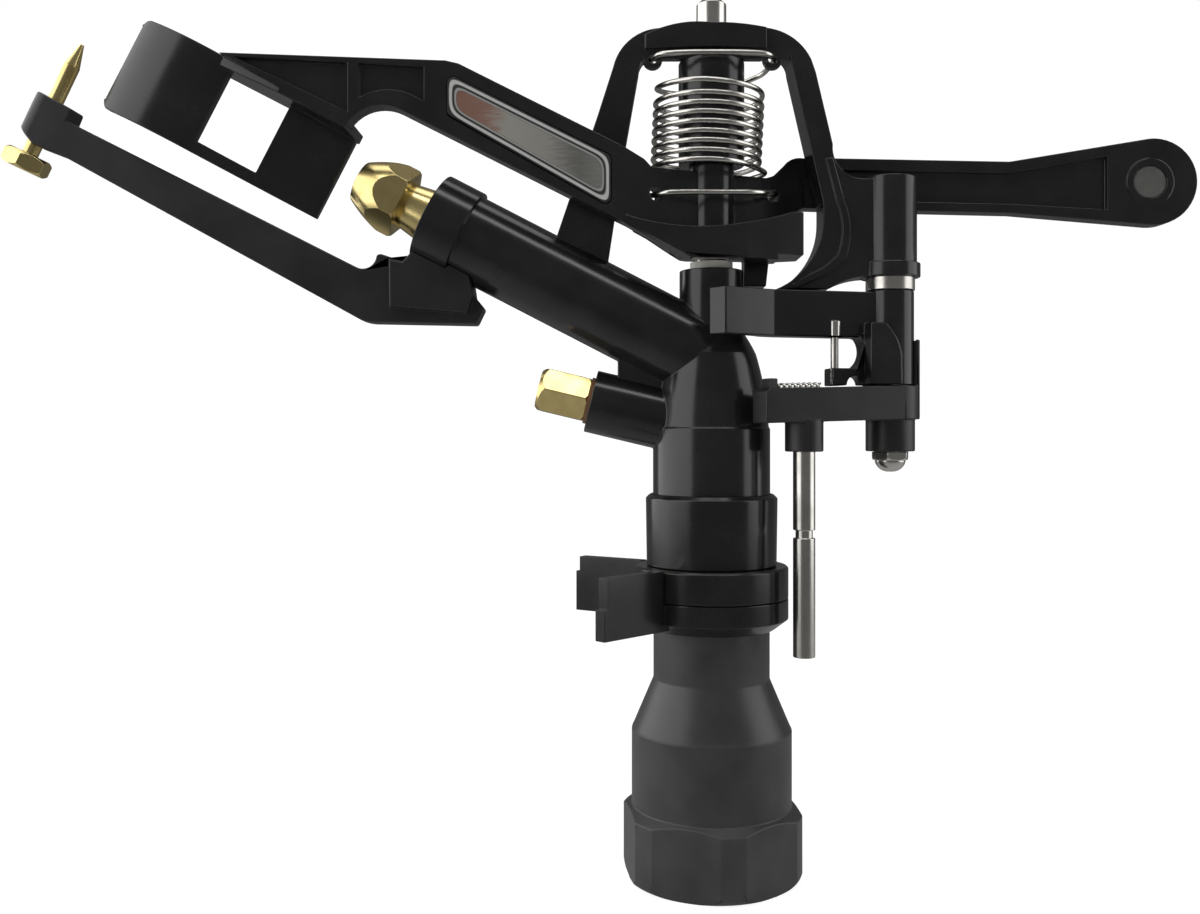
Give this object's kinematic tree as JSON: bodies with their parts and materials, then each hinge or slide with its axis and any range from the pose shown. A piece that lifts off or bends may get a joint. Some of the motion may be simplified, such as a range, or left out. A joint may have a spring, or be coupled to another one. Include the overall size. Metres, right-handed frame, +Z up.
{
  "type": "impact sprinkler",
  "caption": "Plastic part-circle impact sprinkler: swinging spring arm with jet spoon and counterweight, angled barrel, brass nozzles, diffuser screw, trip levers and rings.",
  "frame": {"origin": "centre of the inlet thread's mouth, on the turning axis", "axes": "+Z up along the turning axis, -X the way the main nozzle points, -Y towards the viewer of the picture"},
  "size_m": [0.2508, 0.0427, 0.1806],
  "materials": {
    "plastic_black": "moulded black, semi-gloss",
    "plastic_grey": "moulded dark grey, matt",
    "brass": "machined",
    "steel": "bright drawn stainless",
    "rubber": "matt",
    "washer_plastic": "natural, matt",
    "washer_brown": "pressed fibre",
    "plate_metal": "printed foil with bright border"
  },
  "bodies": {
    "base": {"inlet_base": "plastic_grey", "brake_cup": "plastic_black", "brake_spring": "steel", "brake_washers": "steel"},
    "lower_ring": {"lower_trip_ring": "plastic_black"},
    "upper_ring": {"upper_trip_ring": "plastic_black"},
    "head": {"bearing_spindle": "brass", "thrust_washers": "washer_plastic", "spindle_seal": "rubber", "sprinkler_body": "plastic_black", "main_nozzle": "brass", "main_nozzle_seal": "rubber", "secondary_nozzle": "brass", "secondary_nozzle_washer": "washer_brown", "arm_shaft": "steel", "shaft_thrust_washer": "washer_plastic", "spring_sleeve": "plastic_black", "arm_spring": "steel", "diffuser_arm": "plastic_black", "trip_pivot_pin": "steel", "pivot_spacer": "steel", "pivot_dome_nut": "steel"},
    "arm": {"impact_arm": "plastic_black", "arm_bush": "washer_plastic", "nameplate": "plate_metal", "counterweight_slug": "steel"},
    "trip": {"trip_lever": "plastic_black", "rod_detent_ring": "rubber", "toggle_spring": "steel"},
    "rod": {"trip_rod": "steel"},
    "shift": {"shift_lever": "plastic_black", "toggle_pin": "steel"},
    "screw": {"diffuser_screw": "brass"}
  },
  "joints": [
    {"name": "head_turn", "type": "hinge", "parent": "base", "child": "head", "pos_m": [0, 0, 0.09], "axis": [0, 0, 1], "range_deg": [-93, 165]},
    {"name": "arm_swing", "type": "hinge", "parent": "head", "child": "arm", "pos_m": [0, 0, 0.14], "axis": [0, 0, 1], "range_deg": [0, 75], "stiffness_Nm_per_rad": 0.03, "deforming": ["arm_spring"]},
    {"name": "trip_swing", "type": "hinge", "parent": "head", "child": "trip", "pos_m": [0.0371, 0, 0.095], "axis": [0, 0, 1], "range_deg": [0, 16], "deforming": ["toggle_spring"]},
    {"name": "shift_swing", "type": "hinge", "parent": "head", "child": "shift", "pos_m": [0.0371, 0, 0.11], "axis": [0, 0, 1], "range_deg": [-3.2, 0]},
    {"name": "rod_lift", "type": "slide", "parent": "trip", "child": "rod", "axis": [0, 0, 1], "range_m": [0, 0.02]},
    {"name": "screw_feed", "type": "slide", "parent": "head", "child": "screw", "axis": [0.4305, 0, 0.9026], "range_m": [-0.008, 0.002]},
    {"name": "lower_ring_turn", "type": "hinge", "parent": "base", "child": "lower_ring", "pos_m": [0, 0, 0.054], "axis": [0, 0, 1], "range_deg": [-30, 0]},
    {"name": "upper_ring_turn", "type": "hinge", "parent": "base", "child": "upper_ring", "pos_m": [0, 0, 0.06], "axis": [0, 0, 1], "range_deg": [0, 25]}
  ],
  "couplings": [
    {"joint": "shift_swing", "follows": "trip_swing", "ratio": -0.2}
  ]
}
